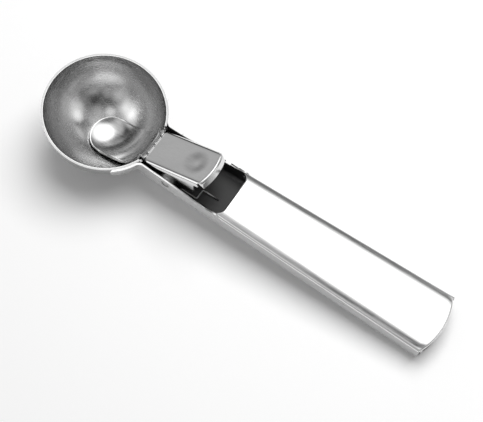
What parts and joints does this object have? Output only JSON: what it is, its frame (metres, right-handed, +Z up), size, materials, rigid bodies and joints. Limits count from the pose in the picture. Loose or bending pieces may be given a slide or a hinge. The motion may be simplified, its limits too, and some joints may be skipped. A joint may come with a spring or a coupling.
{
  "type": "lever ice cream scoop",
  "caption": "Stainless steel ice cream scoop with a half-ball bowl, a broad hollow handle, and a sprung thumb lever whose tongue lifts the ball out.",
  "frame": {"origin": "on the table, under the middle of the scoop's length, where the scoop lies on the bottom of its bowl and the end of its handle", "axes": "+X from the bowl towards the end of the handle, +Y across the handle and along the lever's pivot, +Z up, out of the bowl's mouth"},
  "size_m": [0.215, 0.06, 0.0351],
  "materials": {
    "polished_bowl": "polished with a fine circular grain inside",
    "satin_sheet": "satin, grain along the handle",
    "polished_cover": "polished",
    "polished_lever": "polished",
    "pin_steel": "turned",
    "spring_wire": "drawn wire"
  },
  "bodies": {
    "handle": {"bowl": "polished_bowl", "handle_base": "satin_sheet", "handle_cover": "polished_cover", "pivot_pin": "pin_steel", "pivot_sleeve": "pin_steel", "left_washer": "pin_steel", "right_washer": "pin_steel", "return_spring": "spring_wire"},
    "lever": {"thumb_lever": "polished_lever"}
  },
  "joints": [
    {"name": "lever_pivot", "type": "hinge", "parent": "handle", "child": "lever", "pos_m": [-0.03522, 0, 0.01944], "axis": [0, 1, 0], "range_deg": [0, 35], "stiffness_Nm_per_rad": 0.15, "springref_deg": -34.38, "deforming": ["return_spring"]}
  ]
}
